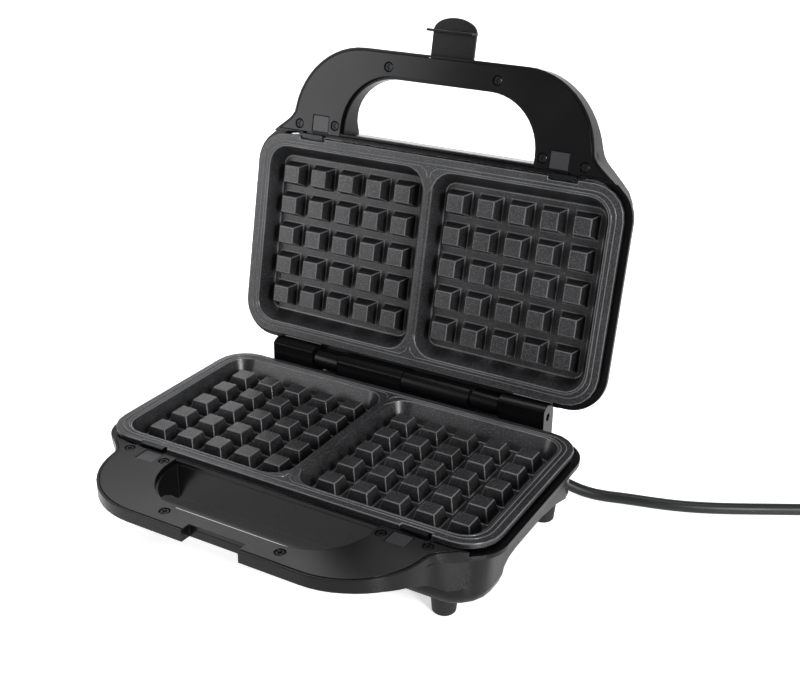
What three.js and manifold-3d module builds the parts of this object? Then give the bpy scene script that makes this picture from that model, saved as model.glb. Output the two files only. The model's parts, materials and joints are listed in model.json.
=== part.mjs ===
// Two-slice waffle maker, standing open: a base on four feet, a lid on a rear hinge, two lift-out
// cast plates, two half handles with a D-shaped opening, and a latch at the front.
// Millimetres, +Z up, -Y to the handle, origin on the table under the middle of the object.
import * as THREE from 'three';
import { mergeVertices } from 'three/addons/utils/BufferGeometryUtils.js';
import Module from 'manifold-3d';

const wasm = await Module();
wasm.setup();

// Overall
const PARTING = 52;          // height of the plane where the two plates meet
const DEPTH_SHIFT = -4.92;   // puts the origin under the middle of the open object
const OPEN_ANGLE = 101.8;    // lid, from closed
const GAP = 0.3;             // between pieces that touch
const WALL = 2.5;            // moulded housings

// Cast plates: depth d is measured away from the parting plane in both halves
const PLATE_X = 115.5;
const PLATE_Y = 60.5;
const PLATE_RADIUS = 18;
const PLATE_FACE = 0.6;
const FLANGE_UNDER = 3.6;
const WELL_X = 55.2;
const WELL_FLOOR = 11;
const PLATE_UNDER = 12.7;
const KNOB_PITCH_X = 19;
const KNOB_PITCH_Y = 18.4;
const KNOB_TOP = 3;
const KNOB_TOP_HALF = 4.9;
const KNOB_FOOT_HALF = 7;
const NOTCH_X = 79.2;
const NOTCH_WIDTH = 16.9;
const NOTCH_DEPTH = 1.8;

// Housings
const RIM_X = 119;
const RIM_REAR = 64;
const RIM_CORNER = 21;
const RIM_TOP = 5.5;
const RIM_UNDER = 8;
const BODY_X = 113.3;
const BODY_FRONT = -65;
const BODY_REAR = 64.5;
const BODY_RADIUS = 20;
const BASE_DEPTH = 36;
const LID_DEPTH = 34;
const ARCH_DEPTH = 22.5;
const ARCH_INNER = 99;

// Handle
const HANDLE_FRONT = -115;
const HANDLE_CORNER_X = 50;
const HANDLE_CORNER_Y = -71;
const HANDLE_RADIUS = 44;
const HANDLE_ROOT = -60;
const BASE_ROOT_DEPTH = 24.5;
const LID_ROOT_DEPTH = 21.5;
const BASE_HANDLE_DEPTH = 8.6; // at the front
const LID_HANDLE_DEPTH = 11;
const FACE = 2.2;
const COVER_UNDER = 4.2;
const COVER_REAR = -63.5;
const D_HALF = 60;
const D_FRONT = -99.5;
const D_REAR = -65.2;
const D_RADIUS = 30.5;
const LIP = 1.3;              // edge of the housing shown round the opening
const LEDGE_REAR = -61.2;
const LATCH_NOTCH = 16.5;
const LID_NOTCH = 13.6;
const LID_NOTCH_BACK = -107.8;
const LATCH_NOTCH_BACK = -109;

// Buttons, clips, screws
const BUTTON_X = 75.2;
const BUTTON_Y = -69;
const BUTTON_WIDTH = 10.6;
const BUTTON_LENGTH = 9.2;
const SCREW_PLACES = [[33.8, -106], [65.4, -69], [89.8, -67.5]];
const SCREW_TIP = 7.6;
const BOSS_RADIUS = 3.1;
const SCREW_HEAD = 2.6;

// Hinge
const HINGE_Y = 70;
const HINGE_Z = PARTING + 2.5;
const BARREL = 6.5;
const KNUCKLE = 5.6;
const TOWER = 7.8;
const PIN = 2;
const PIN_BORE = 2.3;
const HINGE_D = PARTING - HINGE_Z;   // of the hinge, in the base
const LID_HINGE_D = -HINGE_D;

// Heating, lamps
const REFLECTOR_TOP = 9;
const REFLECTOR_UNDER = 19.4;
const ELEMENT_D = 15.7;
const ELEMENT_RADIUS = 2.5;
const LAMP_X = 12;
const LAMP_Y = -18;
const LAMP_RADIUS = 4;

// Latch
const LATCH_Y = -111;
const LATCH_D = 7.5;
const TONGUE_D = 11.8;
const LATCH_HALF = 13.2;

// Cord, on the table behind and to the right
const CORD = 6.4;
const HUMP_X = 44;
const GLAND_Y = 76;
const GLAND_Z = 21;
const GLAND_LENGTH = 24;
const GLAND_END = HUMP_X + GLAND_LENGTH;
const HUMP_UNDER = 38.5;
const CORD_RADIUS = CORD / 2;
const ON_TABLE = CORD_RADIUS + 0.1;
const COIL_X = 263.6;
const COIL_Y = 206.1;
const COIL_MIDDLE = 33;
const COIL_HALF = 6.6;
const COIL_Z0 = 1.3;
const COIL_Z1 = 14.3;
const TAIL_ANGLE = 29.4;     // round the coil, in degrees
const PLUG_Z = 18.6;
const PLUG_START = 44;

// Solids ------------------------------------------------------------------------------------

function toSolid(geometry) {
  const bare = geometry.clone();
  bare.deleteAttribute('normal');
  bare.deleteAttribute('uv');
  const welded = mergeVertices(bare, 1e-4);
  const vertProperties = new Float32Array(welded.attributes.position.array);
  const triVerts = new Uint32Array(welded.index.array);
  return new wasm.Manifold(new wasm.Mesh({ numProp: 3, vertProperties, triVerts }));
}

function toGeometry(solid) {
  const mesh = solid.asOriginal().simplify(0.01).getMesh();
  const geometry = new THREE.BufferGeometry();
  geometry.setAttribute('position', new THREE.BufferAttribute(mesh.vertProperties, 3));
  geometry.setIndex(new THREE.BufferAttribute(mesh.triVerts, 1));
  return geometry;
}

function join(first, ...others) {
  return others.reduce((sum, other) => sum.add(other), first);
}

function cut(first, ...others) {
  return others.reduce((rest, other) => rest.subtract(other), first);
}

function box(x0, x1, y0, y1, z0, z1) {
  const geometry = new THREE.BoxGeometry(x1 - x0, y1 - y0, z1 - z0);
  geometry.translate((x0 + x1) / 2, (y0 + y1) / 2, (z0 + z1) / 2);
  return toSolid(geometry);
}

function cylinderX(x0, x1, y, z, radius, sides = 32) {
  const geometry = new THREE.CylinderGeometry(radius, radius, x1 - x0, sides);
  geometry.rotateZ(Math.PI / 2);
  geometry.translate((x0 + x1) / 2, y, z);
  return toSolid(geometry);
}

function cylinderZ(x, y, z0, z1, radius, sides = 24) {
  const geometry = new THREE.CylinderGeometry(radius, radius, z1 - z0, sides);
  geometry.rotateX(Math.PI / 2);
  geometry.translate(x, y, (z0 + z1) / 2);
  return toSolid(geometry);
}

function plate(points, z0, z1) {
  const geometry = new THREE.ExtrudeGeometry(new THREE.Shape(points), { depth: z1 - z0, bevelEnabled: false });
  geometry.translate(0, 0, z0);
  return toSolid(geometry);
}

// A side view in (y, d), drawn out along x
function profile(points, x0, x1) {
  const shape = new THREE.Shape(points.map(([y, d]) => new THREE.Vector2(y, d)));
  const geometry = new THREE.ExtrudeGeometry(shape, { depth: x1 - x0, bevelEnabled: false });
  geometry.applyMatrix4(new THREE.Matrix4().set(0, 0, 1, x0, 1, 0, 0, 0, 0, 1, 0, 0, 0, 0, 0, 1));
  return toSolid(geometry);
}

// A profile of (radius, height) turned about the z axis
function lathe(points, sides) {
  const geometry = new THREE.LatheGeometry(points.map(([r, h]) => new THREE.Vector2(r, h)), sides);
  return geometry.rotateX(Math.PI / 2);
}

// Outlines with the same number of points, stacked into one closed skin
function stack(layers) {
  const count = layers[0].points.length;
  const positions = layers.flatMap(({ points, d }) => points.flatMap((p) => [p.x, p.y, d]));
  const cap = THREE.ShapeUtils.triangulateShape(layers[0].points, []);
  const index = [];
  cap.forEach(([a, b, c]) => index.push(a, c, b));
  for (let level = 0; level + 1 < layers.length; level++) {
    for (let i = 0; i < count; i++) {
      const a = level * count + i;
      const b = level * count + (i + 1) % count;
      index.push(a, b, b + count, a, b + count, a + count);
    }
  }
  const top = (layers.length - 1) * count;
  cap.forEach(([a, b, c]) => index.push(top + a, top + b, top + c));
  const geometry = new THREE.BufferGeometry();
  geometry.setAttribute('position', new THREE.Float32BufferAttribute(positions, 3));
  geometry.setIndex(index);
  return toSolid(geometry);
}

// Outlines, counter-clockwise ------------------------------------------------------------------

function roundedRectangle(x0, x1, y0, y1, radius, steps = 5) {
  const corners = [[x1, y0, -90], [x1, y1, 0], [x0, y1, 90], [x0, y0, 180]];
  return corners.flatMap(([x, y, start]) => {
    const cx = x - Math.sign(x - x0 || -1) * radius;
    const cy = y - Math.sign(y - y0 || -1) * radius;
    return Array.from({ length: steps + 1 }, (_, i) => {
      const angle = THREE.MathUtils.degToRad(start + 90 * i / steps);
      return new THREE.Vector2(cx + radius * Math.cos(angle), cy + radius * Math.sin(angle));
    });
  });
}

function mirrored(rightHalf) {
  const left = rightHalf.map((p) => new THREE.Vector2(-p.x, p.y)).reverse();
  return [...rightHalf, ...left].filter((p, i, all) => p.distanceTo(all[(i + 1) % all.length]) > 0.01);
}

// Rim around the plate run on into the handle
function housingOutline(inset) {
  const half = new THREE.Path();
  const end = THREE.MathUtils.degToRad(-8);
  const cornerY = BODY_FRONT + 2 + RIM_CORNER;
  half.moveTo(LATCH_NOTCH + 3, HANDLE_FRONT + inset);
  half.lineTo(HANDLE_CORNER_X, HANDLE_FRONT + inset);
  half.absarc(HANDLE_CORNER_X, HANDLE_CORNER_Y, HANDLE_RADIUS - inset, -Math.PI / 2, end, false);
  const cornerX = RIM_X - RIM_CORNER;
  const reach = (RIM_CORNER - inset) * Math.SQRT1_2;
  half.bezierCurveTo(93.5 - inset, -70, 101 - inset * 0.7, -68 + inset * 0.7, cornerX + reach, cornerY - reach);
  half.absarc(cornerX, cornerY, RIM_CORNER - inset, -Math.PI / 4, 0, false);
  half.absarc(cornerX, RIM_REAR - RIM_CORNER, RIM_CORNER - inset, 0, Math.PI / 2, false);
  return mirrored(half.getPoints(6));
}

// Under the rim, the handle's side runs into the body's corner instead
function skirtOutline(inset) {
  const half = new THREE.Path();
  const end = THREE.MathUtils.degToRad(-8);
  const cornerX = BODY_X - BODY_RADIUS;
  const cornerY = BODY_FRONT + BODY_RADIUS;
  const reach = (BODY_RADIUS - inset) * Math.SQRT1_2;
  half.moveTo(LATCH_NOTCH + 3, HANDLE_FRONT + inset);
  half.lineTo(HANDLE_CORNER_X, HANDLE_FRONT + inset);
  half.absarc(HANDLE_CORNER_X, HANDLE_CORNER_Y, HANDLE_RADIUS - inset, -Math.PI / 2, end, false);
  half.bezierCurveTo(94.5 - inset, -70, 101.5 - inset * 0.7, -65 + inset * 0.7, cornerX + reach, cornerY - reach);
  half.lineTo(cornerX, cornerY);
  return mirrored(half.getPoints(6));
}

function openingOutline(grow) {
  const half = new THREE.Path();
  half.moveTo(10, D_FRONT - grow);
  half.absarc(D_HALF - D_RADIUS, D_FRONT + D_RADIUS, D_RADIUS + grow, -Math.PI / 2, 0, false);
  half.lineTo(D_HALF + grow, D_REAR + grow);
  return mirrored(half.getPoints(6));
}

function bodyOutline(inset) {
  const radius = Math.max(BODY_RADIUS - inset, 3);
  return roundedRectangle(-BODY_X + inset, BODY_X - inset, BODY_FRONT + inset, BODY_REAR - inset, radius);
}

function plateOutline(grow) {
  const x = PLATE_X + grow;
  const y = PLATE_Y + grow;
  return roundedRectangle(-x, x, -y, y, PLATE_RADIUS + grow);
}

// Housing half -----------------------------------------------------------------------------------

// Side view of the scooped handle: thin at the front, deep at the root
function handleProfile(frontDepth, rootDepth, inset) {
  const scoop = [[HANDLE_FRONT - 5, 0], [-110, 0.02], [-99, 0.09], [-88, 0.23], [-79, 0.45], [-72, 0.7], [-66.5, 1]];
  const lower = scoop.map(([y, t]) => [y, frontDepth + (rootDepth - frontDepth) * t - inset]);
  return profile([[HANDLE_FRONT - 5, FACE + 0.2 - inset], ...lower,
    [HANDLE_ROOT + inset, rootDepth - inset], [HANDLE_ROOT + inset, FACE + 0.2 - inset]], -130, 130);
}

// The base's side walls rise in an arch between front and rear legs
function sideArches(grow) {
  const arch = [[-36, 50], [-35.5, 31], [-33, 26], [-28, 23.4], [-20, ARCH_DEPTH], [12, ARCH_DEPTH],
    [30, 25], [43, 28.5], [51, 33], [53, 50]];
  const points = arch.map(([y, d]) => [y + Math.sign(y) * grow, d - grow]);
  return [-1, 1].map((side) => {
    const x0 = side > 0 ? ARCH_INNER - grow : -130;
    return profile(points, x0, side > 0 ? 130 : -ARCH_INNER + grow);
  });
}

function lipRounded(depth, steps) {
  return steps.map(([fromBottom, inset]) => ({ points: bodyOutline(inset), d: depth - fromBottom }));
}

function baseBody(inset) {
  const steps = [[BASE_DEPTH - RIM_TOP - 0.5, 0], [7, 0], [3, 1.2], [1, 3.6], [0, 7]];
  const solid = stack(lipRounded(BASE_DEPTH - inset, steps.map(([b, i]) => [b, i + inset])));
  return cut(solid, ...sideArches(inset));
}

function lidBody(inset) {
  const steps = [[LID_DEPTH - RIM_TOP - 0.5, 0], [12, 0], [9.5, 1.3], [7, 5], [4.5, 12], [1.5, 24], [0, 36]];
  return stack(lipRounded(LID_DEPTH - inset, steps.map(([b, i]) => [b, i + inset])));
}

function screwBoss(x, y) {
  return cylinderZ(x, y, COVER_UNDER + GAP, 40, BOSS_RADIUS, 12);
}

// frontDepth and rootDepth are the handle's depths at its two ends; bodyOf makes the pan behind it
function housingHalf(frontDepth, rootDepth, bodyOf, notch, notchBack, notchTop) {
  const outer = join(plate(housingOutline(0), 0, RIM_UNDER), plate(skirtOutline(0), RIM_UNDER - 1, 60));
  const handle = outer.intersect(handleProfile(frontDepth, rootDepth, 0));
  const rimBand = plate(housingOutline(0), RIM_TOP, RIM_UNDER);
  const rim = cut(rimBand, box(-130, 130, -130, HANDLE_ROOT - 1, 0, 20));
  let shell = join(handle, rim, bodyOf(0));
  const inner = join(plate(housingOutline(WALL), -5, RIM_UNDER - WALL), plate(skirtOutline(WALL), -5, 60));
  const hollowTop = inner.intersect(handleProfile(frontDepth, rootDepth, WALL));
  const handleHollow = cut(hollowTop, box(-130, 130, BODY_FRONT, 0, -10, 60));
  const openingWall = plate(openingOutline(2), COVER_UNDER + GAP, 60);
  const notchWall = box(-notch - 3, notch + 3, notchBack - 8, notchBack + 2, COVER_UNDER + GAP, 60);
  shell = cut(shell, cut(handleHollow, openingWall, notchWall));
  shell = cut(shell, bodyOf(WALL), plate(bodyOutline(WALL), -1, RIM_TOP + 4));
  const bosses = [-1, 1].flatMap((side) => SCREW_PLACES.map(([x, y]) => screwBoss(side * x, y)));
  const seats = [-1, 1].map((side) => cylinderZ(side * BUTTON_X, BUTTON_Y, 15, 40, 4.7, 12));
  const inside = plate(skirtOutline(1), 0, 60).intersect(handleProfile(frontDepth, rootDepth, 1));
  shell = join(shell, ...[...bosses, ...seats].map((boss) => boss.intersect(inside)));
  shell = cut(shell, plate(openingOutline(0), -5, 60));
  const lip = plate(openingOutline(LIP), -6, 60);
  const coverPocket = cut(coverSlab(-GAP, -5, COVER_UNDER + GAP), lip);
  const clearFront = box(-notch, notch, -130, notchBack, notchTop, 60);
  const clearRoot = box(-104, 104, LEDGE_REAR, -50, -5, RIM_TOP);
  const cornersClear = [-1, 1].map((side) => box(side * 106 - 6, side * 106 + 6, LEDGE_REAR, -50, -5, RIM_TOP));
  const lipsClear = [-1, 1].map((side) => box(side * 101 - 11, side * 101 + 11, COVER_REAR, LEDGE_REAR + 0.1,
    -5, FACE + 0.6));
  const ledge = box(-90, 90, BODY_FRONT + 2, LEDGE_REAR, FACE + 0.6, RIM_TOP);
  const clipSlots = [-1, 1].map((side) => box(side * 83.7 - 3.1, side * 83.7 + 3.1, -75, -60, 0, 5.8));
  const buttonRoom = [-1, 1].map((side) => box(side * BUTTON_X - 5.8, side * BUTTON_X + 5.8, -76, -64, 0, 11));
  const screwHoles = [-1, 1].flatMap((side) => SCREW_PLACES.map(([x, y]) => (
    cylinderZ(side * x, y, 0, SCREW_TIP + 0.4, 1.5 + GAP, 12))));
  return cut(join(shell, ledge), coverPocket, clearFront, clearRoot, ...cornersClear, ...lipsClear, ...clipSlots,
    ...buttonRoom, ...screwHoles);
}

function coverSlab(inset, d0, d1) {
  const behind = box(-130, 130, COVER_REAR - inset, 80, d0 - 1, d1 + 1);
  return cut(plate(housingOutline(1.6 + inset), d0, d1), behind);
}

// Face of a handle half, with its D-shaped opening, button windows and screw holes
function handleCover(notched) {
  const windows = [-1, 1].map((side) => box(side * BUTTON_X - BUTTON_WIDTH / 2 - GAP,
    side * BUTTON_X + BUTTON_WIDTH / 2 + GAP, BUTTON_Y - BUTTON_LENGTH / 2 - GAP,
    BUTTON_Y + BUTTON_LENGTH / 2 + GAP, 0, 10));
  const heads = [-1, 1].flatMap((side) => SCREW_PLACES.map(([x, y]) => (
    cylinderZ(side * x, y, 0, FACE + 1.55, SCREW_HEAD + GAP, 16))));
  const shanks = [-1, 1].flatMap((side) => SCREW_PLACES.map(([x, y]) => (
    cylinderZ(side * x, y, 0, 10, 1.5 + GAP, 12))));
  const latchNotch = box(-LATCH_NOTCH, LATCH_NOTCH, -130, LATCH_NOTCH_BACK, 0, 10);
  const face = coverSlab(0, FACE, COVER_UNDER);
  const opening = plate(openingOutline(LIP + GAP), 0, 10);
  return cut(face, opening, ...(notched ? [latchNotch] : []), ...windows, ...heads, ...shanks);
}

function coverScrew(x, y) {
  const points = [[0, FACE + 0.2], [SCREW_HEAD - 0.5, FACE + 0.2], [SCREW_HEAD, FACE + 0.6], [SCREW_HEAD, FACE + 1.3],
    [1.5, FACE + 1.3], [1.5, SCREW_TIP - 1], [0, SCREW_TIP]];
  const geometry = lathe(points, 16);
  geometry.translate(x, y, 0);
  const recess = [[1.6, 0.4], [0.4, 1.6]].map(([a, b]) => box(x - a, x + a, y - b, y + b, FACE - 1, FACE + 0.95));
  return cut(toSolid(geometry), ...recess);
}

// Cooking plate ------------------------------------------------------------------------------------

function well(side) {
  const x = side * WELL_X;
  const top = roundedRectangle(x - 52.3, x + 52.3, -53.3, 53.3, 12);
  const middle = roundedRectangle(x - 49.6, x + 49.6, -50, 50, 9);
  const floor = roundedRectangle(x - 48, x + 48, -47.4, 47.4, 6);
  const above = top.map((p) => p.clone());
  return stack([{ points: above, d: -1 }, { points: top, d: PLATE_FACE }, { points: middle, d: WELL_FLOOR - 2.5 },
    { points: floor, d: WELL_FLOOR }]);
}

function knob(x, y) {
  const square = (half) => [[1, -1], [1, 1], [-1, 1], [-1, -1]].map(([a, b]) => (
    new THREE.Vector2(x + a * half, y + b * half)));
  return stack([{ points: square(KNOB_TOP_HALF), d: KNOB_TOP }, { points: square(KNOB_FOOT_HALF), d: WELL_FLOOR },
    { points: square(KNOB_FOOT_HALF), d: WELL_FLOOR + 0.8 }]);
}

function cookingPlate() {
  const flange = plate(plateOutline(0), PLATE_FACE, FLANGE_UNDER);
  const pan = stack([{ points: plateOutline(-6), d: FLANGE_UNDER - 1 }, { points: plateOutline(-9), d: PLATE_UNDER }]);
  const columns = [0.895, 1.895, 2.895, 3.895, 4.895].map((n) => n * KNOB_PITCH_X);
  const rows = [-2, -1, 0, 1, 2].map((n) => n * KNOB_PITCH_Y);
  const knobs = [-1, 1].flatMap((side) => columns.flatMap((x) => rows.map((y) => knob(side * x, y))));
  const notches = [-1, 1].map((side) => box(side * NOTCH_X - NOTCH_WIDTH / 2, side * NOTCH_X + NOTCH_WIDTH / 2,
    -PLATE_Y - 1, -PLATE_Y + NOTCH_DEPTH, -1, FLANGE_UNDER + 0.1));
  return join(cut(join(flange, pan), well(-1), well(1), ...notches), ...knobs);
}

// Heating ---------------------------------------------------------------------------------------------

function reflector() {
  const outline = (inset) => roundedRectangle(-109.5 + inset, 109.5 - inset, -61.5 + inset, 61 - inset, 16 - inset);
  const outer = stack([{ points: outline(0), d: REFLECTOR_TOP }, { points: outline(1.5), d: REFLECTOR_UNDER }]);
  const inner = stack([{ points: outline(0.9), d: REFLECTOR_TOP - 1 },
    { points: outline(2.4), d: REFLECTOR_UNDER - 0.9 }]);
  const leads = [-1, 1].map((side) => cylinderZ(side * 22.5, 48.5, 15, 25, 8.5, 16));
  const sensor = cylinderZ(0, 0, 15, 25, 9, 20);
  return cut(outer, inner, ...leads, sensor);
}

function heatingElement() {
  const route = [[22, 54, 24.5], [22, 52, 20.5], [22.6, 47, 17], [26, 40], [36, 33], [60, 30], [84, 28], [91, 14],
    [91, -14], [84, -28], [55, -31], [0, -31]];
  const right = route.map(([x, y, d = ELEMENT_D]) => new THREE.Vector3(x, y, d));
  const left = route.slice(0, -1).reverse().map(([x, y, d = ELEMENT_D]) => new THREE.Vector3(-x, y, d));
  const path = new THREE.CatmullRomCurve3([...right, ...left], false, 'centripetal');
  return toSolid(tubeAlong(path, ELEMENT_RADIUS, 8, 48));
}

function tubeAlong(path, radius, sides, steps) {
  const section = Array.from({ length: sides }, (_, i) => {
    const angle = 2 * Math.PI * i / sides;
    return new THREE.Vector2(radius * Math.cos(angle), radius * Math.sin(angle));
  });
  return new THREE.ExtrudeGeometry(new THREE.Shape(section), { extrudePath: path, steps, bevelEnabled: false });
}

// Release buttons and clips, for the right-hand side -----------------------------------------------------

function releaseButton() {
  const x0 = BUTTON_X - BUTTON_WIDTH / 2;
  const x1 = BUTTON_X + BUTTON_WIDTH / 2;
  const y0 = BUTTON_Y - BUTTON_LENGTH / 2;
  const y1 = BUTTON_Y + BUTTON_LENGTH / 2;
  const cap = box(x0, x1, y0, y1, FACE + 0.2, 8.2);
  const shoulder = box(x0, x1, y0 - 2, y1, COVER_UNDER + GAP, 6);
  const springSeat = cylinderZ(BUTTON_X, BUTTON_Y, 8, 9.4, 1.6, 12);
  return join(cap, shoulder, springSeat);
}

function releaseSpring() {
  const turnWire = 0.7;
  const points = [[2.2, 8.5], [2.2 + turnWire, 8.5], [2.2 + turnWire, 14.7], [2.2, 14.7], [2.2, 8.5]];
  const geometry = lathe(points, 16);
  geometry.translate(BUTTON_X, BUTTON_Y, 0);
  return toSolid(geometry);
}

function plateClip() {
  const outer = NOTCH_X + NOTCH_WIDTH / 2 - 1.5;
  const nose = box(NOTCH_X - NOTCH_WIDTH / 2 + 1.5, outer, -62.2, -59.6, 0.7, 1.7);
  const leg = box(outer - 5, outer, -62.2, -61.2, 0.7, 5.3);
  const foot = box(outer - 5, outer, -72, -61.2, COVER_UNDER + GAP, 5.3);
  return join(nose, leg, foot);
}

// Base pieces --------------------------------------------------------------------------------------------

function baseShell() {
  const half = housingHalf(BASE_HANDLE_DEPTH, BASE_ROOT_DEPTH, baseBody, LATCH_NOTCH, LATCH_NOTCH_BACK, -5);
  const towers = [-1, 1].map((side) => {
    const x0 = side > 0 ? 62 : -90;
    const post = box(x0, x0 + 28, BODY_REAR - 1, HINGE_Y + TOWER, HINGE_D, 20);
    return join(cylinderX(x0, x0 + 28, HINGE_Y, HINGE_D, TOWER), post);
  });
  const barrelPost = box(-44, -0.5, BODY_REAR - 1, HINGE_Y + BARREL, HINGE_D, 20);
  const barrel = join(cylinderX(-44, -0.5, HINGE_Y, HINGE_D, BARREL), barrelPost);
  const ledge = box(-90, 90, BODY_REAR - 1, HINGE_Y + TOWER, 3.7, 20);
  const barrelBack = box(-43.8, -0.6, HINGE_Y + 5, HINGE_Y + 9, -5.5, 20);
  const hump = plate(roundedRectangle(-HUMP_X, HUMP_X, 58, 86, 5), 18, HUMP_UNDER);
  const humpHollow = plate(roundedRectangle(-HUMP_X + WALL, HUMP_X - WALL, 60, 86 - WALL, 3), 20.5, HUMP_UNDER - WALL);
  const keepBody = plate(bodyOutline(0.2), -10, BASE_DEPTH);
  let shell = join(half, cut(join(...towers, barrel, barrelBack, ledge), keepBody), cut(hump, keepBody));
  shell = cut(shell, humpHollow, cylinderX(-90, -60, HINGE_Y, HINGE_D, PIN_BORE, 16));
  shell = cut(shell, cylinderX(60, 90, HINGE_Y, HINGE_D, PIN_BORE, 16));
  shell = cut(shell, cylinderX(-41, 0, HINGE_Y, HINGE_D, 4, 20));
  const glandHole = cylinderX(HUMP_X - 6, HUMP_X + 1, GLAND_Y, PARTING - GLAND_Z, 4.4, 20);
  const lidKnuckles = [[-61, -44], [-0.5, 43.6], [44, 61.9]].map(([x0, x1]) => (
    cylinderX(x0, x1, HINGE_Y, HINGE_D, BARREL + 0.6)));
  return cut(shell, glandHole, ...lidKnuckles);
}

function foot(x, y) {
  const top = PARTING - BASE_DEPTH - GAP;
  const points = [[0, 0], [5.3, 0], [6.1, 0.9], [7.4, top], [0, top]];
  const geometry = lathe(points, 20);
  geometry.translate(x, y, 0);
  return geometry;
}

function thermostat() {
  const body = cylinderZ(0, 0, 13.2, 24, 7.5, 20);
  const ears = box(-14, 14, -4, 4, 19.8, 21);
  const tabs = [-1, 1].map((side) => box(side * 4 - 0.4, side * 4 + 0.4, -3, 3, 23.5, 29));
  return join(body, ears, ...tabs);
}

function thermalFuse() {
  const body = cylinderX(-52, -28, -12, 23, 2.6, 16);
  return join(body, cylinderX(-60, -20, -12, 23, 0.8, 8));
}

function terminalBlock() {
  const body = box(27, 55, 40, 54, 20.4, 31);
  const wells = [33, 41, 49].map((x) => cylinderZ(x, 47, 28, 32, 2.2, 12));
  return cut(body, ...wells);
}

function hingePin(side) {
  return side > 0 ? cylinderX(46, 88, HINGE_Y, HINGE_Z, PIN, 16) : cylinderX(-88, -46, HINGE_Y, HINGE_Z, PIN, 16);
}

// Lid pieces -----------------------------------------------------------------------------------------------

function lidShell() {
  const half = housingHalf(LID_HANDLE_DEPTH, LID_ROOT_DEPTH, lidBody, LID_NOTCH, LID_NOTCH_BACK,
    COVER_UNDER + GAP);
  const knuckles = [[-60.5, -44.5, KNUCKLE], [0.1, 43, BARREL], [44.6, 61.5, KNUCKLE]].map(([x0, x1, radius]) => {
    const arm = box(x0, x1, BODY_REAR - 1, HINGE_Y + 3, LID_HINGE_D, 15);
    return join(cylinderX(x0, x1, HINGE_Y, LID_HINGE_D, radius), arm);
  });
  const keepBody = plate(bodyOutline(0.2), -10, LID_DEPTH);
  let shell = join(half, cut(join(...knuckles), keepBody));
  const towerRoom = [[61.9, 90.6], [-90.6, -61.9]].map(([x0, x1]) => (
    cylinderX(x0, x1, HINGE_Y, LID_HINGE_D, TOWER + 0.6)));
  const barrelRoom = cylinderX(-44.5, 0.1, HINGE_Y, LID_HINGE_D, BARREL + 0.6);
  const bores = [[-61, -44], [44, 62]].map(([x0, x1]) => cylinderX(x0, x1, HINGE_Y, LID_HINGE_D, PIN_BORE, 16));
  const conduit = cylinderX(0, 40, HINGE_Y, LID_HINGE_D, 4, 20);
  const lampHoles = [-1, 1].map((side) => cylinderZ(side * LAMP_X, LAMP_Y, 20, 50, LAMP_RADIUS + GAP, 20));
  const pinHole = cylinderX(-LATCH_HALF - 7, LATCH_HALF + 7, LATCH_Y, LATCH_D, 1.6, 12);
  return cut(shell, ...towerRoom, barrelRoom, ...bores, conduit, ...lampHoles, pinHole);
}

function lampLens(side) {
  const points = [[0, 29.5], [LAMP_RADIUS - 0.6, 29.5], [LAMP_RADIUS, 30], [LAMP_RADIUS, LID_DEPTH], [3, 34.7], [0, 35]];
  const geometry = lathe(points, 20);
  geometry.translate(side * LAMP_X, LAMP_Y, 0);
  return toSolid(geometry);
}

// Latch at rest: straight out behind the lid handle's front, with its hook towards the face
function latch() {
  const thick = 1.8;
  const hookY = LATCH_Y - 16.9;
  const eye = cylinderX(-LATCH_HALF, LATCH_HALF, LATCH_Y, LATCH_D, 2.5, 20);
  const arm = box(-LATCH_HALF, LATCH_HALF, LATCH_Y - 2, LATCH_Y + 0.6, LATCH_D, TONGUE_D + thick);
  const tongue = box(-LATCH_HALF, LATCH_HALF, hookY - 1.4, LATCH_Y + 0.6, TONGUE_D, TONGUE_D + thick);
  const hook = profile([[hookY - 1.4, TONGUE_D + 0.5], [hookY - 1.4, TONGUE_D - 6.2], [hookY - 0.9, TONGUE_D - 7],
    [hookY, TONGUE_D - 7], [hookY, TONGUE_D + 0.5]], -LATCH_HALF - 0.9, LATCH_HALF + 0.9);
  const tabHalf = new THREE.Path();
  tabHalf.absellipse(0, hookY - 1, LATCH_HALF, 7.4, -Math.PI / 2, 0, false);
  const tab = plate(mirrored(tabHalf.getPoints(8)), TONGUE_D, TONGUE_D + thick);
  const bore = cylinderX(-20, 20, LATCH_Y, LATCH_D, 1.3 + GAP, 12);
  return cut(join(eye, arm, tongue, hook, tab), bore);
}

function latchPin() {
  return cylinderX(-LATCH_HALF - 5.5, LATCH_HALF + 5.5, LATCH_Y, LATCH_D, 1.3, 12);
}

// Cord ------------------------------------------------------------------------------------------------------

// From the gland down to the table, past the rear corner and off to the right, up to the coil
const LEAD_ROUTE = [[GLAND_END + GAP, GLAND_Y, GLAND_Z], [77, 76.2, 20.2], [86, 77.6, 16.6], [94.5, 80.2, 11.6],
  [103, 83.4, 7.2], [111.5, 86.4, 4.4], [120, 89.2, ON_TABLE], [129, 91.8, ON_TABLE], [138, 94.2, ON_TABLE],
  [148, 96.8, ON_TABLE], [160, 100.6, ON_TABLE], [172, 105.6, ON_TABLE], [184, 111.6, ON_TABLE],
  [196, 118.2, ON_TABLE], [208, 125, ON_TABLE], [220, 131.8, ON_TABLE], [234, 139.7, ON_TABLE],
  [251, 149.2, ON_TABLE], [268, 159, ON_TABLE], [285, 168.7, ON_TABLE]];

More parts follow.
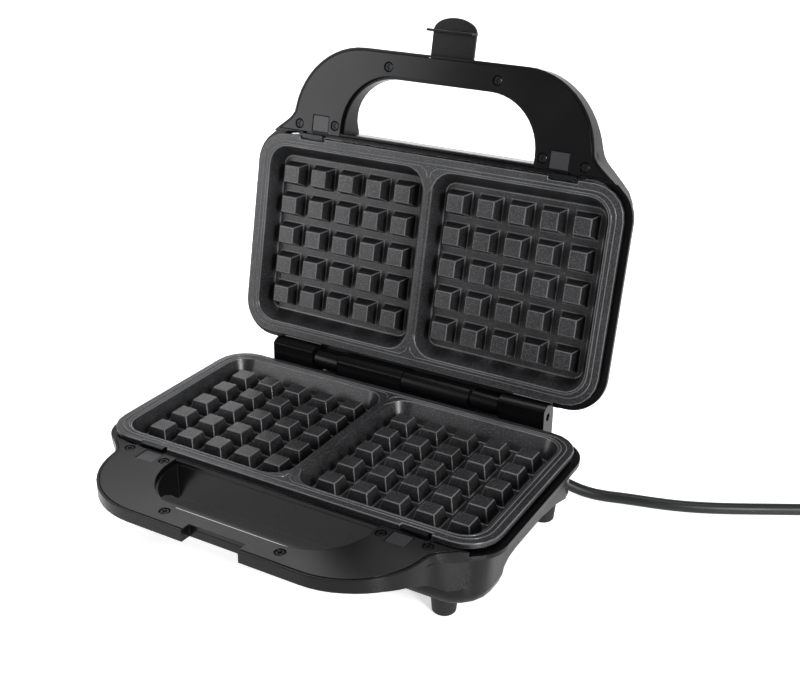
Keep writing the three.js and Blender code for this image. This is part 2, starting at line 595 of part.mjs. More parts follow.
function cordGland() {
  const bore = CORD_RADIUS + 0.1;
  const points = [[bore, -3], [4.2, -3], [4.2, 0.2], [4.9, 0.2], [4.9, 1], [4, 8], [3.8, 18], [3.6, GLAND_LENGTH],
    [bore, GLAND_LENGTH], [bore, -3]];
  const geometry = new THREE.LatheGeometry(points.map(([r, h]) => new THREE.Vector2(r, h)), 20);
  geometry.rotateZ(-Math.PI / 2);
  geometry.translate(HUMP_X, GLAND_Y, GLAND_Z);
  return toSolid(geometry);
}

function cordLead() {
  const points = LEAD_ROUTE.map(([x, y, z]) => new THREE.Vector3(x, y, z));
  const path = new THREE.CatmullRomCurve3(points, false, 'centripetal');
  return toSolid(tubeAlong(path, CORD_RADIUS, 10, 26));
}

function cordCoil() {
  const points = [[COIL_MIDDLE - COIL_HALF, COIL_Z0], [COIL_MIDDLE + COIL_HALF, COIL_Z0],
    [COIL_MIDDLE + COIL_HALF, COIL_Z1], [COIL_MIDDLE - COIL_HALF, COIL_Z1], [COIL_MIDDLE - COIL_HALF, COIL_Z0]];
  const geometry = lathe(points, 40);
  geometry.translate(COIL_X, COIL_Y, 0);
  return toSolid(geometry);
}

// Radial position and heading at an angle round the coil
function round(angle, radius) {
  const a = THREE.MathUtils.degToRad(angle);
  return [COIL_X + radius * Math.cos(a), COIL_Y + radius * Math.sin(a)];
}

function cordTie() {
  const inner = COIL_HALF + 0.5;
  const outer = inner + 0.8;
  const band = box(COIL_MIDDLE - outer, COIL_MIDDLE + outer, -3, 3, 0.1, COIL_Z1 + 1.2);
  const room = box(COIL_MIDDLE - inner, COIL_MIDDLE + inner, -4, 4, COIL_Z0 - 0.4, COIL_Z1 + 0.4);
  const geometry = toGeometry(cut(band, room));
  geometry.rotateZ(THREE.MathUtils.degToRad(150));
  geometry.translate(COIL_X, COIL_Y, 0);
  return geometry;
}

function towardsPlug(geometry, distance) {
  const [x, y] = round(TAIL_ANGLE, COIL_MIDDLE + 3.2);
  const heading = THREE.MathUtils.degToRad(TAIL_ANGLE + 90);
  geometry.rotateZ(heading);
  geometry.translate(x + distance * Math.cos(heading), y + distance * Math.sin(heading), 0);
  return geometry;
}

function cordTail() {
  const points = [[23.2, 0, 11.9], [28, 0, 13.8], [34, 0, 16.8], [39, 0, 18.2], [PLUG_START - GAP, 0, PLUG_Z]];
  const path = new THREE.CatmullRomCurve3(points.map(([x, y, z]) => new THREE.Vector3(x, y, z)));
  return towardsPlug(tubeAlong(path, CORD_RADIUS, 10, 6), 0);
}

function plugBody() {
  const points = [[0, 0], [4.6, 0], [5.4, 14], [9.5, 19], [13, 26], [17.6, 29], [18.4, 30.5], [18.4, 39],
    [17.6, 40], [0, 40]];
  const geometry = new THREE.LatheGeometry(points.map(([r, h]) => new THREE.Vector2(r, h)), 28);
  geometry.rotateZ(-Math.PI / 2);
  geometry.translate(0, 0, PLUG_Z);
  return towardsPlug(geometry, PLUG_START);
}

function plugPin(side) {
  const points = [[0, 0], [2.4, 0], [2.4, 17], [1.6, 19], [0, 19]];
  const geometry = new THREE.LatheGeometry(points.map(([r, h]) => new THREE.Vector2(r, h)), 12);
  geometry.rotateZ(-Math.PI / 2);
  geometry.translate(40 + GAP, side * 9.5, PLUG_Z);
  return towardsPlug(geometry, PLUG_START);
}

// Assembly -----------------------------------------------------------------------------------------------------

function finish(colour, roughness, metalness = 0) {
  return () => new THREE.MeshStandardMaterial({ color: colour, roughness, metalness });
}

const plastic = finish(0x1c1d1e, 0.42);
const coverPlastic = finish(0x222324, 0.3);
const nonStick = finish(0x2a2b2c, 0.45, 0.1);
const steel = finish(0xb8babb, 0.35, 1);
const aluminium = finish(0xc2c4c5, 0.4, 1);
const elementSteel = finish(0x5b5f58, 0.6, 0.7);
const rubber = finish(0x151515, 0.7);
const ceramic = finish(0xe8e2d4, 0.6);
const redLens = finish(0xc02018, 0.2);
const greenLens = finish(0x2c9a3c, 0.2);

function reversed(geometry) {
  const order = Array.from(geometry.index.array);
  for (let i = 0; i < order.length; i += 3) {
    [order[i + 1], order[i + 2]] = [order[i + 2], order[i + 1]];
  }
  geometry.setIndex(order);
  return geometry;
}

// shape is a solid or geometry in (x, y, d); it is mirrored left to right and into its half
function half(shape, intoBase, flipX) {
  const geometry = shape.isBufferGeometry ? shape.clone() : toGeometry(shape);
  geometry.scale(flipX ? -1 : 1, 1, intoBase ? -1 : 1);
  geometry.translate(0, 0, PARTING);
  return intoBase !== flipX ? reversed(geometry) : geometry;
}

function add(parent, name, shape, look) {
  const mesh = new THREE.Mesh(shape.isBufferGeometry ? shape : toGeometry(shape), look());
  mesh.name = name;
  parent.add(mesh);
}

const group = new THREE.Group();
group.position.y = DEPTH_SHIFT;
const lidPivot = new THREE.Group();
lidPivot.position.set(0, HINGE_Y, HINGE_Z);
lidPivot.rotation.x = THREE.MathUtils.degToRad(-OPEN_ANGLE);
const lid = new THREE.Group();
lid.position.set(0, -HINGE_Y, -HINGE_Z);
lidPivot.add(lid);
group.add(lidPivot);

const halves = [
  { where: 'base', parent: group, intoBase: true, shell: baseShell(), cookingPlate: 'lower_plate' },
  { where: 'lid', parent: lid, intoBase: false, shell: lidShell(), cookingPlate: 'upper_plate' },
];
for (const { where, parent, intoBase, shell, cookingPlate: plateName } of halves) {
  add(parent, `${where}_shell`, half(shell, intoBase, false), plastic);
  add(parent, `${where}_handle_cover`, half(handleCover(intoBase), intoBase, false), coverPlastic);
  add(parent, `${where}_reflector`, half(reflector(), intoBase, false), aluminium);
  add(parent, `${where}_heating_element`, half(heatingElement(), intoBase, false), elementSteel);
  add(parent, plateName, half(cookingPlate(), intoBase, false), nonStick);
  for (const [side, flipX] of [['left', true], ['right', false]]) {
    add(parent, `release_button_${where}_${side}`, half(releaseButton(), intoBase, flipX), plastic);
    add(parent, `release_spring_${where}_${side}`, half(releaseSpring(), intoBase, flipX), steel);
    add(parent, `plate_clip_${where}_${side}`, half(plateClip(), intoBase, flipX), steel);
    SCREW_PLACES.forEach(([x, y], i) => {
      add(parent, `cover_screw_${where}_${side}_${i + 1}`, half(coverScrew(x, y), intoBase, flipX), steel);
    });
  }
}
add(group, 'thermostat', half(thermostat(), true, false), aluminium);
add(group, 'thermal_fuse', half(thermalFuse(), true, false), steel);
add(group, 'terminal_block', half(terminalBlock(), true, false), ceramic);
for (const [place, x, y] of [['front_left', -88.4, -46.5], ['front_right', 88.4, -46.5], ['rear_left', -97, 55],
  ['rear_right', 97, 55]]) {
  add(group, `foot_${place}`, foot(x, y), rubber);
}
add(group, 'hinge_pin_left', hingePin(-1), steel);
add(group, 'hinge_pin_right', hingePin(1), steel);
add(lid, 'power_lamp_lens', half(lampLens(-1), false, false), redLens);
add(lid, 'ready_lamp_lens', half(lampLens(1), false, false), greenLens);
add(lid, 'latch', half(latch(), false, false), plastic);
add(lid, 'latch_pin', half(latchPin(), false, false), steel);
add(group, 'cord_gland', cordGland(), rubber);
add(group, 'cord_lead', cordLead(), rubber);
add(group, 'cord_coil', cordCoil(), rubber);
add(group, 'cord_tail', cordTail(), rubber);
add(group, 'cord_tie', cordTie(), rubber);
add(group, 'plug_body', plugBody(), rubber);
add(group, 'plug_pin_left', plugPin(1), steel);
add(group, 'plug_pin_right', plugPin(-1), steel);

export default group;
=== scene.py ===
import json
import math

import bmesh
import bpy
from mathutils import Matrix, Vector

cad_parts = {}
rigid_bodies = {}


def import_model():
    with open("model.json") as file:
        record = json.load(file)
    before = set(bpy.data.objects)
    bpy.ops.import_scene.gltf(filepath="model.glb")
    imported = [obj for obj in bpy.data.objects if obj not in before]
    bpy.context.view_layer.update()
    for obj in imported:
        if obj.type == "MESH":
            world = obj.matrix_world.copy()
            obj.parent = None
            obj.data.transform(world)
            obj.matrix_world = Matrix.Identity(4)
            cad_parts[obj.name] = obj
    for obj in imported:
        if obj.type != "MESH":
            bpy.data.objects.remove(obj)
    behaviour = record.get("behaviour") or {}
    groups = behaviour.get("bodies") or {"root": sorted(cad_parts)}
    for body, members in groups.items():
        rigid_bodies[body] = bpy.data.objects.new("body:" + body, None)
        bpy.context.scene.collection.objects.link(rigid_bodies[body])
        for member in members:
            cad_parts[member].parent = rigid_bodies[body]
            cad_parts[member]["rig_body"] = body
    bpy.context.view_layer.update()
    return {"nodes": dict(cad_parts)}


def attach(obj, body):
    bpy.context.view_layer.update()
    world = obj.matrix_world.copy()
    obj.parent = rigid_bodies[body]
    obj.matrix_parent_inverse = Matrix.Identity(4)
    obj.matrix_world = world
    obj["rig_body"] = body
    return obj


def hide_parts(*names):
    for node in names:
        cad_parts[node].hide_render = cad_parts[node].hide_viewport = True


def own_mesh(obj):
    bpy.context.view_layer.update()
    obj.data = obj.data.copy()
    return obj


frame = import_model()

# ---- Camera -----------------------------------------------------------------------------------------
# A product shot from the front right and a little under 25 degrees up, rolled by under a degree.
# The lens is about 53 mm on a full-frame sensor, 0.66 m from the waffle maker.
SHIFT_Y = -0.00492  # puts the origin under the middle of the open waffle maker, as in the CAD
CAMERA_AT = (0.3007, -0.4697 + SHIFT_Y, 0.3579)
CAMERA_ROLL = math.radians(0.71)
scene = bpy.context.scene
camera = bpy.data.objects.new("camera", bpy.data.cameras.new("camera"))
scene.collection.objects.link(camera)
scene.camera = camera
camera.data.lens = 52.86
camera.data.sensor_width = 36
back = Vector((0.4473, -0.792, 0.4154)).normalized()
level_right = Vector((0, 0, 1)).cross(back).normalized()
level_up = back.cross(level_right)
right = level_right * math.cos(CAMERA_ROLL) + level_up * math.sin(CAMERA_ROLL)
up = level_up * math.cos(CAMERA_ROLL) - level_right * math.sin(CAMERA_ROLL)
camera.matrix_world = Matrix.Translation(CAMERA_AT) @ Matrix((right, up, back)).transposed().to_4x4()

# ---- Mains cord -------------------------------------------------------------------------------------
# A 6.4 mm round PVC cord, 0.97 m in all. It leaves the gland at the back sideways, drops to the table
# and runs off to the right, where the rest is wound in a coil of three turns and ends in its plug.
CORD_R = 0.0032
ON_TABLE = CORD_R + 0.0001  # height of the cord's middle
GLAND_END = (0.0683, 0.076, 0.021)
COIL_AT = (0.2636, 0.2061)
COIL_START, COIL_SWEEP, COIL_STEPS = -58, 1120, 43  # degrees round the coil
OUTER_TURN, INNER_TURN, TOP_TURN = 0.0362, 0.0298, 0.0330  # radii
BED, TOP_RISE = 0.0012, 0.0062  # the tie under the coil, and the step up to the top turn
TAIL_ANGLE = math.radians(29.4)


def linear(code):
    channels = [int(code[i:i + 2], 16) / 255 for i in (1, 3, 5)]
    return tuple(c / 12.92 if c <= 0.04045 else ((c + 0.055) / 1.055) ** 2.4 for c in channels) + (1,)


def new_node(tree, kind, inputs=(), **settings):
    made = tree.nodes.new("ShaderNode" + kind)
    for key, value in settings.items():
        setattr(made, key, value)
    for key, value in dict(inputs).items():
        if isinstance(value, bpy.types.NodeSocket):
            tree.links.new(value, made.inputs[key])
        else:
            made.inputs[key].default_value = value
    return made


def blend(tree, factor, low, high):
    """The colour between low and high, each of them a colour or another node's socket."""
    made = new_node(tree, "Mix", {0: factor}, data_type="RGBA")
    for socket, value in ((made.inputs[6], low), (made.inputs[7], high)):
        if isinstance(value, bpy.types.NodeSocket):
            tree.links.new(value, socket)
        else:
            socket.default_value = value
    return made.outputs[2]


def surface(name, low, high, rough, grain_mm, bump_mm=0.0, spread=0.06, edge_mm=0.0, fleck=None,
            painted_shade=None, **fixed):
    """A moulded, cast or coated surface, whose colour and roughness wander with its grain.
    edge_mm rounds its edges, fleck is the colour of its specks, and crevice is the colour of painted shade,
    which ambient occlusion lays into sheltered places."""
    made = bpy.data.materials.new(name)
    made.use_nodes = True
    tree = made.node_tree
    shader = tree.nodes["Principled BSDF"]
    place = new_node(tree, "TexCoord").outputs["Object"]
    grain = new_node(tree, "TexNoise", {"Vector": place, "Scale": 1000 / grain_mm, "Detail": 6.0,
                                        "Roughness": 0.6})
    broad = new_node(tree, "TexNoise", {"Vector": place, "Scale": 22.0, "Detail": 3.0})  # 45 mm patches
    mixed = new_node(tree, "Math", {0: grain.outputs["Fac"], 1: broad.outputs["Fac"]}, operation="ADD")
    ramp = new_node(tree, "MapRange", {"Value": mixed.outputs[0], "From Min": 0.75, "From Max": 1.25})
    colour = blend(tree, ramp.outputs[0], linear(low), linear(high))
    if fleck:
        cells = new_node(tree, "TexVoronoi", {"Vector": place, "Scale": 1000 / (2 * grain_mm)})
        spots = new_node(tree, "MapRange", {"Value": cells.outputs["Distance"], "From Min": 0.4,
                                            "From Max": 0.15})
        colour = blend(tree, spots.outputs[0], colour, linear(fleck))
    # painted shade: ambient occlusion darkens the colour in sheltered places, down to the given shade colour
    if painted_shade:
        shade_amount = new_node(tree, "AmbientOcclusion", {"Distance": 0.012}, samples=8)
        colour = blend(tree, shade_amount.outputs["AO"], linear(painted_shade), colour)
    tree.links.new(colour, shader.inputs["Base Color"])
    roughness = new_node(tree, "MapRange", {"Value": mixed.outputs[0], "From Min": 0.6, "From Max": 1.4,
                                            "To Min": rough - spread, "To Max": rough + spread})
    tree.links.new(roughness.outputs[0], shader.inputs["Roughness"])
    normal = new_node(tree, "Bevel", {"Radius": edge_mm / 1000}, samples=4).outputs[0] if edge_mm else None
    if bump_mm:
        bump = new_node(tree, "Bump", {"Height": grain.outputs["Fac"], "Distance": bump_mm / 1000,
                                       "Strength": 1.0})
        if normal:
            tree.links.new(normal, bump.inputs["Normal"])
        normal = bump.outputs[0]
    if normal:
        tree.links.new(normal, shader.inputs["Normal"])
    for key, value in fixed.items():
        shader.inputs[key.replace("_", " ")].default_value = value
    return made


# from the gland down to the table, past the rear corner and on towards the coil
lead = [GLAND_END, (0.077, 0.0762, 0.0202), (0.086, 0.0776, 0.0166), (0.0945, 0.0802, 0.0116),
        (0.103, 0.0834, 0.0072), (0.1115, 0.0864, 0.0044)]
lead += [(x, y, ON_TABLE) for x, y in (
    (0.120, 0.0892), (0.129, 0.0918), (0.138, 0.0942), (0.148, 0.0968), (0.160, 0.1006), (0.172, 0.1056),
    (0.184, 0.1116), (0.196, 0.1182), (0.208, 0.125), (0.220, 0.1318), (0.234, 0.1397), (0.251, 0.1492),
    (0.266, 0.1578))]
# the turns lie two wide and two high: outside, inside, then on top
turns = []
for i in range(1, COIL_STEPS):
    swept = i * COIL_SWEEP / COIL_STEPS
    angle = math.radians(COIL_START + swept)
    turn = swept / 360
    inward = min(max(turn - 0.94, 0) / 0.2, 1)
    upward = min(max(turn - 1.9, 0) / 0.25, 1)
    radius = OUTER_TURN + (INNER_TURN - OUTER_TURN) * inward + (TOP_TURN - INNER_TURN) * upward
    turns.append((COIL_AT[0] + radius * math.cos(angle), COIL_AT[1] + radius * math.sin(angle),
                  ON_TABLE + BED + TOP_RISE * upward))
# off the top turn and over to the plug, which lies beside the coil
heading = TAIL_ANGLE + math.pi / 2
tail_from = (COIL_AT[0] + OUTER_TURN * math.cos(TAIL_ANGLE), COIL_AT[1] + OUTER_TURN * math.sin(TAIL_ANGLE))
tail = [(tail_from[0] + run * math.cos(heading), tail_from[1] + run * math.sin(heading), z)
        for run, z in ((0.003, 0.0112), (0.013, 0.0113), (0.0232, 0.0119), (0.034, 0.0168), (0.0437, 0.0186))]
route = [(x, y + SHIFT_Y, z) for x, y, z in lead + turns + tail]
cord_curve = bpy.data.curves.new("cord", "CURVE")
cord_curve.dimensions = "3D"
cord_curve.bevel_depth = CORD_R
cord_curve.bevel_resolution = 5
cord_curve.resolution_u = 6
spline = cord_curve.splines.new("BEZIER")
spline.bezier_points.add(len(route) - 1)
for point, place in zip(spline.bezier_points, route):
    point.co = place
    point.handle_left_type = point.handle_right_type = "AUTO"
cord = bpy.data.objects.new("mains_cord", cord_curve)
scene.collection.objects.link(cord)
# extruded PVC: matt, with a faint skin from the die
cord.data.materials.append(surface("black_pvc_matte", "#101112", "#191a1c", 0.46, 0.7, bump_mm=0.03,
                                   IOR=1.53))
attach(cord, "base")
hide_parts("cord_lead", "cord_coil", "cord_tail")

# ---- Floor, walls and light -------------------------------------------------------------------------
# A packshot table: a white lacquered board that runs up into a low wall behind, lit by a large softbox
# on the left, a small one on the right for the edges, two behind and one overhead.
SWEEP_HALF_WIDTH = 3
sweep = bmesh.new()
sweep_profile = [(-2.5, 0), (1.2, 0), (1.5, 0.03), (1.75, 0.15), (1.9, 0.4), (1.93, 0.8)]
rows = [[sweep.verts.new((x, y, z)) for x in (-SWEEP_HALF_WIDTH, SWEEP_HALF_WIDTH)]
        for y, z in sweep_profile]
for low, high in zip(rows, rows[1:]):
    sweep.faces.new((low[0], low[1], high[1], high[0]))
sweep_mesh = bpy.data.meshes.new("sweep")
sweep.to_mesh(sweep_mesh)
sweep.free()
sweep_mesh.shade_smooth()
floor = bpy.data.objects.new("sweep", sweep_mesh)
scene.collection.objects.link(floor)
# sprayed lacquer: nearly white, with a soft reflection; its glow stands for the light under the board
floor.data.materials.append(surface("white_lacquered_board", "#eceded", "#f2f2f2", 0.22, 40, spread=0.02,
                                    Emission_Color=(1, 1, 1, 1), Emission_Strength=0.62))
world = bpy.data.worlds.new("studio")
scene.world = world
world.use_nodes = True
world.node_tree.nodes["Background"].inputs["Color"].default_value = (1, 1, 1, 1)
world.node_tree.nodes["Background"].inputs["Strength"].default_value = 0.22


def softbox(name, place, aim, size, watts):
    lamp = bpy.data.lights.new(name, "AREA")
    lamp.shape = "RECTANGLE"
    lamp.size, lamp.size_y = size
    lamp.energy = watts
    made = bpy.data.objects.new(name, lamp)
    made.location = place
    made.rotation_euler = (Vector(aim) - Vector(place)).to_track_quat("-Z", "Y").to_euler()
    scene.collection.objects.link(made)


softbox("softbox_left", (-1.05, -1.15, 0.5), (0, 0, 0.15), (0.6, 0.9), 9)
softbox("softbox_right", (1.15, -0.65, 0.62), (0, 0, 0.1), (0.28, 0.5), 20)
softbox("softbox_back_left", (-0.8, 1.35, 0.42), (0, 0, 0.05), (0.9, 0.3), 3)
softbox("softbox_strip", (-1.2, 1.5, 1.45), (0, -0.1, 0.05), (1.2, 0.4), 5)
softbox("softbox_top", (0.0, 0.2, 1.4), (0, 0, 0), (1.0, 0.6), 9)
scene.view_settings.view_transform = "Standard"
scene.view_settings.gamma = 0.85

# ---- Moulded housings and latch ---------------------------------------------------------------------
# Base and lid are compression-moulded black phenolic, 2.5 mm thick, and the latch is the same. The lid
# turns on two pins at the back, and the latch on one at the front of its handle.
EVEN_ANGLE = 38  # degrees: flatter edges than this are shaded over
SHARP_ANGLE = 24  # and steeper ones than this are broken on the plates


def link(name, mesh, look, body, smooth_angle):
    made = bpy.data.objects.new(name, mesh)
    scene.collection.objects.link(made)
    made.data.materials.append(look)
    mesh.shade_smooth()
    mesh.set_sharp_from_angle(angle=math.radians(smooth_angle))
    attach(made, body)
    return made


def finished(name, look, edges=(), highlight_look=None):
    """Replaces a CAD node by a welded, evenly shaded copy with its real edges broken. edges is a list of
    (width in mm, test of an edge); highlight_look is laid on the narrow breaks as a painted highlight."""
    bm = bmesh.new()
    bm.from_mesh(frame["nodes"][name].data)
    bmesh.ops.remove_doubles(bm, verts=bm.verts, dist=2e-6)
    if edges:
        bmesh.ops.dissolve_limit(bm, angle_limit=math.radians(1), verts=bm.verts, edges=bm.edges)
    for width, wanted in edges:
        sharp = [e for e in bm.edges if len(e.link_faces) == 2
                 and e.calc_face_angle() > math.radians(SHARP_ANGLE) and wanted(e)]
        # the narrow breaks take the second material, a paler painted highlight
        bmesh.ops.bevel(bm, geom=sharp, offset=width / 1000, segments=3, profile=0.5, affect="EDGES",
                        clamp_overlap=False, material=1 if highlight_look and width < 1 else -1)
    mesh = bpy.data.meshes.new(name + "_finished")
    bm.to_mesh(mesh)
    bm.free()
    imported_normals = mesh.attributes.get("custom_normal")
    if imported_normals:
        mesh.attributes.remove(imported_normals)
    piece = link(name + "_finished", mesh, look, frame["nodes"][name]["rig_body"], EVEN_ANGLE)
    if highlight_look:
        mesh.materials.append(highlight_look)
    evened = piece.modifiers.new("even_shading", "WEIGHTED_NORMAL")
    evened.keep_sharp = True
    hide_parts(name)


# phenolic from a fine-sanded mould: satin black with a grain that shows only in the highlights
phenolic = surface("black_phenolic_satin", "#0b0b0c", "#111112", 0.27, 0.35, bump_mm=0.004, edge_mm=0.6,
                   IOR=1.5, Specular_IOR_Level=0.27)
for name in ("base_shell", "lid_shell", "latch"):
    finished(name, phenolic)

# ---- Release buttons --------------------------------------------------------------------------------
# Two square buttons in each handle face, moulded in ABS a little lighter than the housing. Pressing one
# draws back the clip that holds the plate beside it.


def dress(look, *names):
    for name in names:
        piece = frame["nodes"][name]
        piece.data.materials.clear()
        piece.data.materials.append(look)


def nodes_named(*starts):
    return [name for name in frame["nodes"] if name.startswith(starts)]


# moulded ABS: satin dark grey
dress(surface("dark_grey_abs_satin", "#2a2a2d", "#343437", 0.36, 0.4, bump_mm=0.004, edge_mm=0.5, IOR=1.53),
      *nodes_named("release_button"))

# ---- Handle faces -----------------------------------------------------------------------------------
# A 2 mm phenolic face on each half of the handle, held by six screws. Its mould is polished finer than
# the housing's.

# phenolic from a finer mould: the same black with sharper highlights
face_phenolic = surface("charcoal_phenolic_satin", "#0c0c0d", "#121213", 0.22, 0.35, bump_mm=0.002,
                        edge_mm=0.4, IOR=1.5, Specular_IOR_Level=0.32)
for name in ("base_handle_cover", "lid_handle_cover"):
    finished(name, face_phenolic)

# ---- Waffle plates ----------------------------------------------------------------------------------
# Die-cast aluminium with a speckled PTFE coat, clipped in at the front and hooked in at the back. The
# ridge between the wells is well rounded, and knob and flange edges by half a millimetre.
PARTING = 0.052  # height of the plane where the closed plates meet
PLATE_FACE = 0.0006  # how far each flange lies from it
RIDGE_HALF = 0.0042
SHORTEST_EDGE = 0.0011
HINGE = Vector((0, 0.070, 0.0545))
OPEN_ANGLE = math.radians(101.8)

# sprayed PTFE: dark grey with fine lighter specks, and painted shade darkening it down between the knobs
nonstick = surface("ptfe_coated_cast_aluminium", "#262627", "#39393b", 0.34, 0.45, bump_mm=0.012,
                   fleck="#5c5c5e", painted_shade="#08080a", IOR=1.5)
# the same coat, paler and smoother, for the narrow edge breaks: a painted highlight along the edges
edge_highlight_coat = surface("ptfe_painted_edge_highlight", "#505052", "#707072", 0.22, 0.45, bump_mm=0.006, IOR=1.5)


def on_ridge(edge):
    return all(abs(v.co.x) < RIDGE_HALF for v in edge.verts)


def long_enough(edge):
    return edge.calc_length() > SHORTEST_EDGE


for name in ("lower_plate", "upper_plate"):
    # the narrow edge breaks get the paler coat, a painted highlight
    finished(name, nonstick, [(1.5, on_ridge), (0.5, long_enough)], highlight_look=edge_highlight_coat)


def in_half(half, x, y, d):
    """A point at depth d under the face of the base, or of the lid where it stands open."""
    if half == "base":
        return Vector((x, y + SHIFT_Y, PARTING - d))
    turned = Matrix.Rotation(-OPEN_ANGLE, 3, "X") @ (Vector((x, y, PARTING + d)) - HINGE)
    return HINGE + turned + Vector((0, SHIFT_Y, 0))


def rounded(x, y, radius, quarters):
    """Points round the corners of a rectangle of half sizes x and y, from the front right corner on."""
    corners = [(x - radius, radius - y, -90), (x - radius, y - radius, 0), (radius - x, y - radius, 90),
               (radius - x, radius - y, 180)]
    return [(cx + radius * math.cos(math.radians(start + 15 * i)),
             cy + radius * math.sin(math.radians(start + 15 * i)))
            for cx, cy, start in corners[:quarters] for i in range(7)]


# Two raised lines are cast into each face: one inside the flange's edge, and one round each well, which
# runs into the ridge between the wells at both ends.
LINE_R = 0.00042
flange_line = rounded(0.1115, 0.0565, 0.014, 4)
into_ridge = [(0.0008, 0.049), (0.0016, 0.0522), (0.0052, 0.0547)]
right_well_line = [*((x, -y) for x, y in into_ridge), *rounded(0.109, 0.0547, 0.0134, 2),
                   *reversed(into_ridge)]
left_well_line = [(-x, y) for x, y in right_well_line]
for half, plate in (("base", "lower_plate"), ("lid", "upper_plate")):
    cast_lines = bpy.data.curves.new("bead_" + plate, "CURVE")
    cast_lines.dimensions = "3D"
    cast_lines.bevel_depth = LINE_R
    cast_lines.bevel_resolution = 2
    for outline in (flange_line, right_well_line, left_well_line):
        ridge = cast_lines.splines.new("POLY")
        ridge.points.add(len(outline) - 1)
        ridge.use_cyclic_u = outline is flange_line
        for point, (x, y) in zip(ridge.points, outline):
            point.co = (*in_half(half, x, y, PLATE_FACE), 1)
    bead = bpy.data.objects.new("bead_" + plate, cast_lines)
    scene.collection.objects.link(bead)
    # the raised lines take the paler coat, a painted highlight along them
    bead.data.materials.append(edge_highlight_coat)
    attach(bead, frame["nodes"][plate]["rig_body"])

# ---- Reflectors and thermostat ----------------------------------------------------------------------
# A tray pressed from 0.9 mm aluminium under each element throws the heat at the plate. The snap-disc
# thermostat stands in a hole of the lower one, in an aluminium can.

# pressed sheet: bright, with fine rolling marks
dress(surface("pressed_aluminium", "#c4c6c8", "#d6d8da", 0.32, 0.8, bump_mm=0.01, Metallic=1.0),
      "base_reflector", "lid_reflector", "thermostat")

# ---- Heating elements -------------------------------------------------------------------------------
# A 5 mm tubular steel element under each plate, filled with magnesia round its wire. It is bent from
# one length, and both ends go through the reflector to the terminals.

# steel that has been red hot: dull grey-brown scale
dress(surface("oxidised_element_steel", "#4a4c49", "#6a6a62", 0.55, 1.2, bump_mm=0.02, Metallic=0.8),
      "base_heating_element", "lid_heating_element")

# ---- Fuse and pins ----------------------------------------------------------------------------------
# The thermal fuse in the base, in its crimped steel case. Two 4 mm pins pressed through the hinge's
# knuckles, and the latch's 2.6 mm pin, are the same plated steel.

# zinc-plated steel: cool bright grey, slightly cloudy
zinc = surface("zinc_plated_steel", "#b4b6ba", "#c8cacc", 0.34, 1.0, bump_mm=0.006, Metallic=1.0)
dress(zinc, "thermal_fuse", "hinge_pin_left", "hinge_pin_right", "latch_pin")

# ---- Terminal block ---------------------------------------------------------------------------------
# A pressed ceramic block with three wells for the clamp screws. It is fixed to the base's floor beside
# the place where the cord comes in.

# glazed steatite: cream, glassy over a slight ripple
dress(surface("glazed_ceramic", "#e4dccb", "#eee8da", 0.3, 2.0, bump_mm=0.02, IOR=1.55), "terminal_block")

# ---- Release springs --------------------------------------------------------------------------------
# A compression spring of 0.7 mm zinc-plated wire stands under each button, wound four and a half turns.
# Its far end sits in the housing and the near end is pushed in 2 mm by the button.
WIRE_R, WINDING_R, WINDINGS = 0.00035, 0.00255, 4.5
WIRE_STEPS, WIRE_SIDES = 64, 8
SPRING_NEAR, SPRING_FAR = 0.0085, 0.0147  # depths under the face
BUTTON_X, BUTTON_Y, BUTTON_TRAVEL = 0.0752, -0.069, 0.002

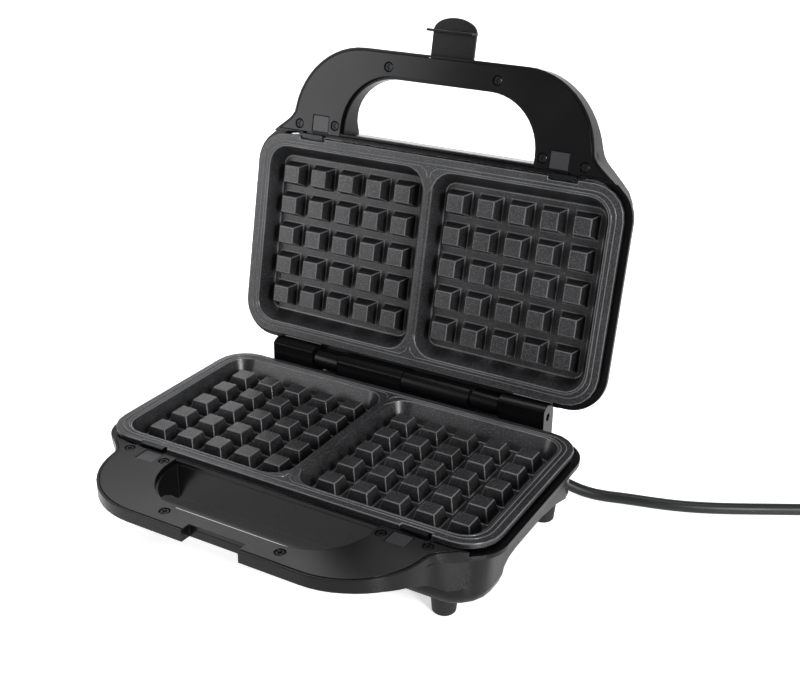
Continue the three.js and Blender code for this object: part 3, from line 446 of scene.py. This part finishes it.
for half, side in (("base", "left"), ("base", "right"), ("lid", "left"), ("lid", "right")):
    centre_x = BUTTON_X if side == "right" else -BUTTON_X
    spring = bmesh.new()
    rings = []
    for i in range(WIRE_STEPS + 1):
        angle = 2 * math.pi * WINDINGS * i / WIRE_STEPS
        d = SPRING_NEAR + WIRE_R + (SPRING_FAR - SPRING_NEAR - 2 * WIRE_R) * i / WIRE_STEPS
        ring = []
        for j in range(WIRE_SIDES):
            out = WIRE_R * math.cos(2 * math.pi * j / WIRE_SIDES)
            along = WIRE_R * math.sin(2 * math.pi * j / WIRE_SIDES)
            x = centre_x + (WINDING_R + out) * math.cos(angle)
            y = BUTTON_Y + (WINDING_R + out) * math.sin(angle)
            ring.append(spring.verts.new(in_half(half, x, y, d + along)))
        rings.append(ring)
    for near, far in zip(rings, rings[1:]):
        for j in range(WIRE_SIDES):
            after = (j + 1) % WIRE_SIDES
            spring.faces.new((near[j], near[after], far[after], far[j]))
    spring.faces.new(rings[0])
    spring.faces.new(rings[-1])
    bmesh.ops.recalc_face_normals(spring, faces=spring.faces)
    name = f"release_spring_{half}_{side}"
    spring_mesh = bpy.data.meshes.new(name + "_wire")
    spring.to_mesh(spring_mesh)
    spring.free()
    wire = link(name + "_wire", spring_mesh, zinc, frame["nodes"][name]["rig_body"], smooth_angle=60)
    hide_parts(name)
    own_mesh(wire)

# ---- Screws and clips -------------------------------------------------------------------------------
# Pan-head screws with a cross recess hold each handle face, six to a face. The four clips that hold the
# plates are bent from strip of the same steel.

# steel blackened in hot salts: nearly black, with a soft metallic shine on rounded edges
dress(surface("blackened_steel", "#2a2b2d", "#3a3b3d", 0.3, 0.5, bump_mm=0.005, Metallic=0.9, edge_mm=0.2),
      *nodes_named("cover_screw", "plate_clip"))

# ---- Feet, gland and tie ----------------------------------------------------------------------------
# Four tapered feet pushed into the base, the tapered gland where the cord leaves, and the strap round
# the coil, all moulded in rubber.

# moulded rubber: matt black with a fine bloom
dress(surface("black_rubber_matte", "#121213", "#1a1a1b", 0.62, 0.6, bump_mm=0.02, edge_mm=0.5, IOR=1.52),
      "foot_front_left", "foot_front_right", "foot_rear_left", "foot_rear_right", "cord_gland", "cord_tie")

# ---- Plug -------------------------------------------------------------------------------------------
# A two-pin plug. Its PVC body is moulded round the cord's end and the roots of the two solid brass
# pins, which are nickel plated.

# injection-moulded PVC: black and a little glossy
dress(surface("plug_pvc_gloss", "#111213", "#18191a", 0.3, 0.8, bump_mm=0.01, edge_mm=0.6, IOR=1.53),
      "plug_body")
# nickel over brass: bright with a warm cast
dress(surface("nickel_plated_brass", "#c9c6be", "#d9d6cf", 0.22, 1.0, bump_mm=0.003, Metallic=1.0),
      "plug_pin_left", "plug_pin_right")

# ---- Lamps ------------------------------------------------------------------------------------------
# A red lens for power and a green one for ready, moulded in clear tinted plastic and pressed into the
# lid's crown from inside.

# tinted polycarbonate: saturated and glassy
dress(surface("red_polycarbonate", "#b01812", "#c8241a", 0.14, 3.0, IOR=1.58, Coat_Weight=0.5),
      "power_lamp_lens")
dress(surface("green_polycarbonate", "#1f8a34", "#2a9c40", 0.14, 3.0, IOR=1.58, Coat_Weight=0.5),
      "ready_lamp_lens")
